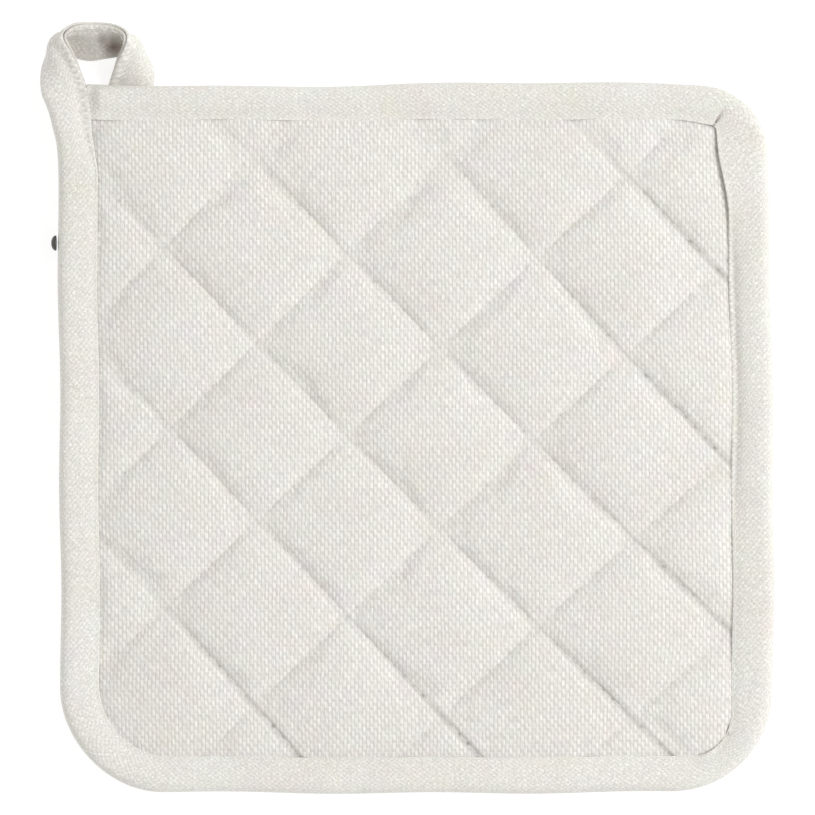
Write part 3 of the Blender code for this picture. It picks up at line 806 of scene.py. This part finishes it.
# %% Tape sizes
# Half of the cross section, from inside the slot over the open edge to the fold. On the pad and in the loop:
# (share of the leg from the fold to the open edge, inset in mm, height in mm or in half thicknesses)
TAPE_SECTION = (
    ((0.0, 1.80, 4.10), (1.0, -1.50, 0.03)),
    ((0.0, 2.80, 4.75), (1.0, -1.10, 0.05)),
    ((1.0, 0.00, 4.70), (1.0, -0.35, 0.10)),
    ((1.0, 0.06, 4.98), (1.0, 0.00, 0.45)),
    ((1.0, -0.14, 5.24), (1.0, -0.25, 0.90)),
    ((1.0, -0.42, 5.38), (1.0, -1.10, 1.15)),
    ((1.0, -0.85, 5.48), (1.0, -2.50, 1.10)),
    ((1.0, -1.70, 5.82), (1.0, -3.80, 1.08)),
    ((0.60, 0.00, 6.45), (0.60, 0.00, 1.00)),
    ((0.36, 0.00, 6.95), (0.36, 0.00, 1.00)),
    ((0.0, 2.20, 6.95), (0.0, 1.80, 0.95)),
    ((0.0, 1.00, 6.30), (0.0, 0.80, 0.78)),
    ((0.0, 0.28, 4.90), (0.0, 0.22, 0.42)),
    ((0.0, 0.00, 3.30), (0.0, 0.00, 0.00)),
)
STITCH_POINT = 6  # the point of the section that the stitches go through
TAPE_HEIGHT = 6.6 * MM
TAPE_STITCH = 3.8 * MM
ROWS_PER_STITCH = 4
TAPE_STEP = TAPE_STITCH / ROWS_PER_STITCH
GROOVE = 0.28 * MM
DEEP_GROOVE = 0.75 * MM  # in the loop and on the last length before it
DEEPENING = (-45 * MM, -8 * MM)
GROOVE_FLOOR = 0.45  # what is left of the groove halfway between two stitches
SPREADING = (-24 * MM, -8 * MM)  # here the stitches move away from the open edge, to where the loop has them
SLOT_TOP = 4.7 * MM
FLAT_LIP = 0.6  # how far the open edge stands up along the top and bottom, as a share of that at the sides
LIP_TURN = (-6 * MM, 6 * MM)  # the one passes into the other at the corners, where x and y are as large
# How much of a lift each point of the section takes part in
LIFT_SHARES = {2: 0.7, 3: 1.0, 4: 1.0, 5: 0.95, 6: 0.85, 7: 0.6, 8: 0.2}
# Where the open edge stands off the pad: (x, y, how far it is lifted, reach), all in mm
LIFTED_LIPS = (
    (84.5, 82.0, 1.1, 8.0),
    (86.0, 71.0, 1.3, 8.0),
    (87.0, 62.0, 0.6, 8.0),
    (88.0, -44.0, 0.3, 20.0),
    (86.0, -82.6, 1.2, 2.6),
    (82.0, -87.6, 1.2, 2.6),
    (-90.0, 84.0, 0.2, 14.0),
)
# On the right side the stitches move away from the open edge and come back to it, from y to y
WANDER_SIDE = (0.0, 60 * MM)  # from x to x, so that the left side has none of it
WANDER_OUT = (68 * MM, 42 * MM)
WANDER_BACK = (-2 * MM, -27 * MM)
WANDER = 0.55  # a share of the way to where the loop has them
WANDER_GROOVE = 0.85 * MM
WANDER_SHADE = 0.22  # painted into that groove, where little light comes
ARC_STEPS = 20
CURVE_STEPS = 10
SQUARE_AFTER = 8 * MM  # this far from a corner the rows are square to the tape again

# Where the tape starts and where it leaves the pad, in mm: (folded edge x, y, open edge x, y)
TOP_START = (-92.1, 100.0, -91.7, 89.7)
LOOP_CORNER_RUN = (
    (-100.0, 76.0, -88.9, 76.0),
    (-100.3, 82.5, -89.8, 82.5),
    (-101.2, 87.0, -90.3, 87.5),
    (-102.1, 91.2, -90.5, 92.0),
    (-103.1, 94.1, -91.1, 96.0),
    (-104.0, 96.6, -91.75, 99.5),
)
# The loop in mm: (open edge x, y, z, folded edge x, y, z, bulge of the outer face)
LOOP_SECTIONS = (
    (-94.1, 103.4, 7.3, -105.9, 101.0, 4.6, 0.5),
    (-96.0, 107.8, 9.6, -105.4, 105.4, 2.6, 1.2),
    (-98.7, 113.2, 11.4, -103.3, 109.2, 1.4, 1.6),
    (-95.6, 116.2, 10.6, -99.0, 108.5, 1.0, 1.7),
    (-90.9, 116.8, 8.9, -92.8, 106.8, 0.9, 0.6),
    (-87.3, 116.6, 9.2, -87.7, 107.4, 0.9, 0.3),
    (-83.9, 115.8, 10.4, -83.3, 108.2, 0.9, 0.6),
    (-81.3, 113.7, 11.8, -78.8, 109.7, 1.0, 1.3),
    (-81.6, 110.6, 11.4, -75.5, 107.8, 1.1, 1.3),
    (-83.3, 107.6, 9.0, -74.0, 105.0, 1.3, 1.0),
    (-85.0, 104.0, 5.6, -73.6, 102.2, 1.3, 0.5),
    (-86.6, 100.6, 2.3, -74.2, 98.6, 1.25, 0.1),
    (-88.6, 95.8, 1.2, -76.6, 93.4, 1.2, 0.0),
    (-90.4, 91.6, 1.2, -78.8, 88.9, 1.2, 0.0),
)
LOOP_HALF_THICKNESS = 1.15 * MM
CLOSING = (-4 * MM, 4 * MM)  # the legs come together over this length, counted from the end of the pad
FIRST_SHARE = 1 / 8  # this share of the tape holds its start
TUCK = (-88.6 * MM, -91.5 * MM)  # the start is pressed thin here, under the front leg of the other end
TUCKED_SLOT = 4.48 * MM
TUCKED_TOP = 4.75 * MM
RESTING = 0.6  # how far the back leg is pressed towards the table, as a share of its height

# %% The line of the tape


def curve_point(rows, position):
    """A smooth curve through the rows, read at a position that counts rows."""
    index = min(int(position), len(rows) - 2)
    t = position - index
    around = [rows[int(clamp(index + k, 0, len(rows) - 1))] for k in (-1, 0, 1, 2)]
    weights = (
        (-t + 2 * t**2 - t**3) / 2,
        (2 - 5 * t**2 + 3 * t**3) / 2,
        (t + 4 * t**2 - 3 * t**3) / 2,
        (-(t**2) + t**3) / 2,
    )
    return [sum(w * row[i] for w, row in zip(weights, around)) for i in range(len(rows[0]))]


def squared(first, second):
    """Two rows between two others, square to the tape, so that only the corners turn its weave."""
    run = (second[0] - first[0]).normalized()
    rows = []
    for pair, side in ((first, 1), (second, -1)):
        reach = max(side * point.dot(run) for point in pair) + SQUARE_AFTER
        rows.append([point + run * (side * reach - point.dot(run)) for point in pair])
    return rows


def row_on_pad(folded, opened):
    """One row of the tape on the pad: open edge, folded edge and bulge, with the unevenness in it."""
    return (*uneven((*drawn_in(opened), MIDDLE_HEIGHT)), *uneven((*folded, MIDDLE_HEIGHT)), 0.0)


def middle_of(row):
    return (Vector(row[:3]) + Vector(row[3:6])) / 2


def tape_rows():
    """Rows at equal steps along the middle of the tape, and the length at which it leaves the pad."""
    start = [Vector(TOP_START[i:i + 2]) * MM for i in (0, 2)]
    run = [[Vector(row[i:i + 2]) * MM for i in (0, 2)] for row in LOOP_CORNER_RUN]
    pairs = [start]
    for corner in ((1, 1), (1, -1), (-1, -1)):
        arc = [arc_pair(corner, step / ARC_STEPS) for step in range(ARC_STEPS + 1)]
        pairs += squared(pairs[-1], arc[0]) + arc
    pairs += squared(pairs[-1], run[0]) + [run[0]]
    fine = []
    for first, second in zip(pairs, pairs[1:]):
        count = max(1, round((second[0] - first[0]).length / (2 * TAPE_STEP)))
        fine += [row_on_pad(*[a.lerp(b, k / count) for a, b in zip(first, second)]) for k in range(count)]
    table = [row_on_pad(*pair) for pair in run]
    table += [[value * MM for value in row] for row in LOOP_SECTIONS]
    left_at = len(fine) + (len(run) - 1) * CURVE_STEPS
    fine += [curve_point(table, k / CURVE_STEPS) for k in range((len(table) - 1) * CURVE_STEPS + 1)]
    lengths = [0.0]
    for first, second in zip(fine, fine[1:]):
        lengths.append(lengths[-1] + (middle_of(second) - middle_of(first)).length)
    rows = []
    index = 0
    count = round(lengths[-1] / TAPE_STEP)
    for number in range(count + 1):
        wanted = lengths[-1] * number / count
        while index < len(fine) - 2 and lengths[index + 1] < wanted:
            index += 1
        share = (wanted - lengths[index]) / (lengths[index + 1] - lengths[index])
        rows.append([a + (b - a) * share for a, b in zip(fine[index], fine[index + 1])])
    return rows, lengths[-1], lengths[left_at]


# %% Creases and painted shade
# Small creases that are pressed into the front leg: (from x, y, to x, y, depth, half width), all in mm
CREASES = (
    (87.6, -84.4, 92.8, -81.5, 0.8, 0.6),
)
# The crease at the upper right corner runs along one row of the tape, from the open edge towards this place
MITRE_END = Vector((88.2, 93.4)) * MM
MITRE_DEPTH = 1.0 * MM
MITRE_SHADE = 0.9
MITRE_SHARES = {3: 0.6, 4: 0.9, 5: 1.0, 6: 1.0, 7: 0.9, 8: 0.35}
# Shade that is painted into creases of the front leg and into the bend of the loop, where little light comes:
# (side of the tape, x and y in mm, reach in mm, shade)
SHADES = (
    (1, 86.3, -83.0, 1.3, 0.7),
    (1, 82.0, -87.8, 1.3, 0.6),
    (-1, -85.0, 110.4, 3.2, 1.0),
    (-1, -88.0, 112.2, 2.0, 0.7),
    (-1, -92.5, 110.5, 5.0, 0.3),
)

# %% The cross section at each row
WAVE = 0.16 * MM
WAVE_LENGTH = 13 * MM
EDGE_WAVE = 0.14 * MM
EDGE_WAVE_LENGTH = 4 * MM
CREASE_FLOOR = 1.6 * MM  # half the thickness of the pad under the tape, which no crease goes below
UP = Vector((0.0, 0.0, 1.0))


def full_section():
    """Both halves as pairs of a sign, 1 in front and -1 behind, and a point of the half section."""
    front = [(1, point) for point in range(len(TAPE_SECTION))]
    return front + [(-1, point) for point in reversed(range(len(TAPE_SECTION) - 1))]


def crease_depth(x, y):
    """How deep the creases are at a place on the front leg."""
    depth = 0.0
    for start_x, start_y, end_x, end_y, deepest, width in CREASES:
        start, end = Vector((start_x, start_y)) * MM, Vector((end_x, end_y)) * MM
        line = end - start
        share = clamp((Vector((x, y)) - start).dot(line) / line.length_squared)
        away = (Vector((x, y)) - start - line * share).length
        depth += deepest * MM * math.exp(-((away / (width * MM)) ** 2)) * (1 - share**2)
    return depth


def mitre_row(rows):
    """The row of the tape that passes nearest to the end of the crease at the upper right corner."""
    distances = []
    for row in rows:
        opened, folded = Vector(row[:2]), Vector(row[3:5])
        line = folded - opened
        share = clamp((MITRE_END - opened).dot(line) / line.length_squared)
        distances.append((MITRE_END - opened - line * share).length)
    return distances.index(min(distances))


def painted_shade(sign, place):
    """The shade to paint on one side of the tape at a place."""
    shades = [0.0]
    for side, x, y, reach, shade in SHADES:
        away = math.hypot(place.x - x * MM, place.y - y * MM)
        shades.append(shade * math.exp(-((away / (reach * MM)) ** 2)) * (side == sign))
    return max(shades)


def lip_share(x, y):
    """How far the open edge stands up at a place, as a share of the section's own height."""
    return 1 - (1 - FLAT_LIP) * step_between(LIP_TURN, abs(y) - abs(x))


def lip_lift(x, y):
    """How far the open edge is lifted off the pad at a place."""
    lift = 0.0
    for lip_x, lip_y, highest, reach in LIFTED_LIPS:
        away = math.hypot(x - lip_x * MM, y - lip_y * MM)
        lift += highest * MM * math.exp(-((away / (reach * MM)) ** 2))
    return lift


def wandered(x, y):
    """1 where the stitches of the right side are furthest from the open edge, 0 elsewhere."""
    return step_between(WANDER_SIDE, x) * step_between(WANDER_OUT, y) * (1 - step_between(WANDER_BACK, y))


def height_on_pad(sign, point, lip, lift, thin):
    """Height of a point of the section on the pad, above the table in front and turned over behind."""
    height = TAPE_SECTION[point][0][2] * MM
    if sign > 0 and 3 <= point <= 7:
        height = SLOT_TOP + (height - SLOT_TOP) * lip
    if sign > 0:
        height += lift * LIFT_SHARES.get(point, 0.0)
    pressed = TUCKED_TOP if point > 1 else TUCKED_SLOT
    height += (min(height, pressed) - height) * thin
    if sign < 0 and point > 2:
        height += (TAPE_HEIGHT - height) * RESTING
    return height


def tape_places(rows, total, left_at, mitre):
    """The place of every grid point of the tape."""
    step = total / (len(rows) - 1)
    places = []
    for number, row in enumerate(rows):
        opened, folded = Vector(row[:3]), Vector(row[3:6])
        before, after = rows[max(number - 1, 0)], rows[min(number + 1, len(rows) - 1)]
        run = middle_of(after) - middle_of(before)
        along = number * step
        together = step_between(CLOSING, along - left_at)
        normal = UP.lerp(run.cross(folded - opened).normalized(), together).normalized()
        inward = (opened - folded).normalized()
        away = wandered(opened.x, opened.y)
        groove = GROOVE + (DEEP_GROOVE - GROOVE) * step_between(DEEPENING, along - left_at)
        groove += (WANDER_GROOVE - GROOVE) * away
        at_hole = (math.cos(math.tau * number / ROWS_PER_STITCH) + 1) / 2
        spread = max(step_between(SPREADING, along - left_at), WANDER * away)
        lip, lift = lip_share(opened.x, opened.y), lip_lift(opened.x, opened.y)
        section = []
        for sign, point in full_section():
            on_pad, in_loop = TAPE_SECTION[point]
            changed = max(together, spread) if 4 <= point <= 7 else together
            share, inset = (a + (b - a) * changed for a, b in zip(on_pad[:2], in_loop[:2]))
            flat = folded + (opened - folded) * share + inward * inset * MM
            thin = step_between(TUCK, flat.x) if along < total * FIRST_SHARE else 0.0
            height = height_on_pad(sign, point, lip, lift, thin)
            half = (height - TAPE_HEIGHT / 2) * kept_thickness(flat.x, flat.y)
            out = half * (1 - together) + in_loop[2] * LOOP_HALF_THICKNESS * together
            if point > 2 and thin < 1:
                wave = noise.noise(Vector((along / WAVE_LENGTH, point * 0.35, 3.0 * sign)))
                out += WAVE * wave * (1 - thin) * (1 - together / 2)
            if point == STITCH_POINT:
                out -= groove * between((GROOVE_FLOOR, 1.0), at_hole) * (1 - thin)
            if sign > 0 and point > 2 and together < 1:
                out -= min(crease_depth(flat.x, flat.y), max(out - CREASE_FLOOR, 0.0))
            if number == mitre and sign > 0:
                out -= MITRE_DEPTH * MITRE_SHARES.get(point, 0.0)
            if 3 <= point <= 5:
                flat += inward * EDGE_WAVE * noise.noise(Vector((along / EDGE_WAVE_LENGTH, sign, 9.0)))
            bulge = row[6] * 4 * share * (1 - share) * together
            place = flat + normal * (sign * out + bulge)
            place.z = max(place.z, 0.0)
            section.append(place)
        places.append(section)
    return places


# %% The tape
PLAIN_ROW = 60  # a row of the straight top side, from which the width of the cloth is taken
rows, tape_length, pad_end = tape_rows()
mitre = mitre_row(rows)
places = tape_places(rows, tape_length, pad_end, mitre)
sizes = [(b - a).length for a, b in zip(places[PLAIN_ROW], places[PLAIN_ROW][1:])]
across_cloth = [sum(sizes[:k]) for k in range(len(places[0]))] + [sum(sizes)]
bm = bmesh.new()
bmesh.ops.create_grid(bm, x_segments=len(places) - 1, y_segments=len(places[0]), size=1.0)
cloth_map = bm.loops.layers.uv.new("cloth")
painted_shade_on_tape = bm.verts.layers.float.new("painted_shade_on_tape")
for point in bm.verts:
    row = round((point.co.x + 1) / 2 * (len(places) - 1))
    column = round((point.co.y + 1) / 2 * len(places[0]))
    for corner in point.link_loops:
        corner[cloth_map].uv = (row / (len(places) - 1) * tape_length, across_cloth[column])
    point.co = places[row][column % len(places[0])]
    sign, level = full_section()[column % len(places[0])]
    # Painted shade in the creases, in the groove and in the bend of the loop, where little light comes
    point[painted_shade_on_tape] = painted_shade(sign, point.co) if level > 2 else 0.0
    if level == STITCH_POINT and sign > 0:
        point[painted_shade_on_tape] = max(point[painted_shade_on_tape], WANDER_SHADE * wandered(point.co.x, point.co.y))
    if row == mitre and sign > 0:
        point[painted_shade_on_tape] = MITRE_SHADE * MITRE_SHARES.get(level, 0.0)
bmesh.ops.remove_doubles(bm, verts=bm.verts, dist=0.001 * MM)
bmesh.ops.holes_fill(bm, edges=[edge for edge in bm.edges if edge.is_boundary], sides=0)
bmesh.ops.recalc_face_normals(bm, faces=bm.faces)
tape = new_object("bias_tape", bm)
print("tape:", round(tape_length / MM), "mm long,", len(places), "rows,", len(tape.data.polygons), "faces")
tape.data.materials.append(tape_cloth)
smooth = tape.modifiers.new("finer tape", "SUBSURF")
smooth.levels = smooth.render_levels = 1
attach(tape, "root")
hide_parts("binding", "hanging_loop")

# %% [markdown]
# ## Threads
#
# A sewing machine leaves one short length of thread from hole to hole, on the front and on the back. Each is
# a small bar with round ends, and a few faces are enough for it. The quilting threads lie on the finished
# pad, so a ray is sent down, and one up, to find the cloth at each hole. The threads of the binding follow
# the stitch points of its own cross section.

# %% Stitches
THREAD_RADIUS = 0.17 * MM
THREAD_SUNK = 0.02 * MM
THREAD_PART = 0.46  # half the length of a bar as a share of the step between two holes
RAY_START = 40 * MM
UNDER_TAPE = 1.5 * MM  # how far the quilting threads run on under the tape
HIDDEN_END = 16 * MM  # the end of the tape that lies behind the upper edge

thread_look = bpy.data.materials.new("sewing thread")
thread_look.use_nodes = True
shader = thread_look.node_tree.nodes["Principled BSDF"]
shader.inputs["Base Color"].default_value = linear(226, 224, 219)
shader.inputs["Roughness"].default_value = 0.6


def add_stitch(bm, start, end, out):
    """One bar of thread between two holes, sunk in the cloth by half and a little more."""
    run = end - start
    side = out.cross(run).normalized()
    up = run.cross(side).normalized()
    turn = Matrix((run.normalized(), side, up)).transposed().to_4x4()
    place = Matrix.Translation((start + end) / 2 - up * THREAD_SUNK)
    stretch = Matrix.Diagonal((run.length * THREAD_PART, THREAD_RADIUS, THREAD_RADIUS, 1.0))
    bmesh.ops.create_uvsphere(bm, u_segments=6, v_segments=6, radius=1.0, matrix=place @ turn @ stretch)


def join(bm, part):
    """Adds one small mesh to a larger one, which is quicker than many operators on the larger one."""
    mesh = bpy.data.meshes.new("part")
    part.to_mesh(mesh)
    part.free()
    bm.from_mesh(mesh)
    bpy.data.meshes.remove(mesh)


def cloth_surface(piece):
    """A search tree of the piece as it renders."""
    bpy.context.view_layer.update()
    return BVHTree.FromObject(piece, bpy.context.evaluated_depsgraph_get())


def surface_at(tree, point, side):
    """The cloth above (side 1) or below (side -1) a point of the flat plan."""
    place = uneven((*point, MIDDLE_HEIGHT))
    start = Vector((place.x, place.y, MIDDLE_HEIGHT + side * RAY_START))
    return tree.ray_cast(start, Vector((0.0, 0.0, -side)))[0]


pad_surface = cloth_surface(pad)
bm = bmesh.new()
count = 0
step = 2 / FACES_PER_CELL
for seams, order in ((FALLING_SEAMS, 1), (RISING_SEAMS, -1)):
    first, last = RISING_RANGE if order == 1 else FALLING_RANGE
    for number in range(len(seams)):
        steps = range(int((last - first) / step) + 1)
        holes = [crossing(*(number, first + k * step)[::order]) for k in steps]
        for side in (1, -1):
            line = bmesh.new()
            before = None
            for point in holes:
                place = surface_at(pad_surface, point, side) if field_inset(point) > -UNDER_TAPE else None
                if place and before:
                    add_stitch(line, before, place, Vector((0.0, 0.0, side)))
                    count += 1
                before = place
            join(bm, line)
thread = new_object("quilting_thread", bm)
thread.data.materials.append(thread_look)
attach(thread, "root")
print("quilting:", count, "stitches,", len(thread.data.polygons), "faces")

tape_surface = cloth_surface(tape)
bm = bmesh.new()
count = 0
hidden_rows = round(HIDDEN_END / TAPE_STEP)
for column in (STITCH_POINT, len(places[0]) - STITCH_POINT):
    holes = [places[row][column] for row in range(0, len(places) - hidden_rows, ROWS_PER_STITCH)]
    for number, (first, second) in enumerate(zip(holes, holes[1:])):
        if number < len(holes) * FIRST_SHARE and first.x < TUCK[0]:
            continue  # the tucked start lies under the other end, which has its own stitches here
        start, out = tape_surface.find_nearest(first)[:2]
        end = tape_surface.find_nearest(second)[0]
        add_stitch(bm, start, end, out)
        count += 1
edge_thread = new_object("binding_thread", bm)
edge_thread.data.materials.append(thread_look)
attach(edge_thread, "root")
print("binding:", count, "stitches,", len(edge_thread.data.polygons), "faces")

# %% [markdown]
# ## The stud
#
# The small dark knob on the left edge is turned metal and needs no new shape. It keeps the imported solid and
# gets a dull, dark metal.

# %% Stud material
STUD_ROUGHNESS = 0.42
dark_metal = bpy.data.materials.new("dark metal")
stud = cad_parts["edge_stud"]
dark_metal.use_nodes = True
shader = dark_metal.node_tree.nodes["Principled BSDF"]
shader.inputs["Base Color"].default_value = linear(88, 87, 84)
shader.inputs["Metallic"].default_value = 0.85
shader.inputs["Roughness"].default_value = STUD_ROUGHNESS
stud.material_slots[0].material = dark_metal
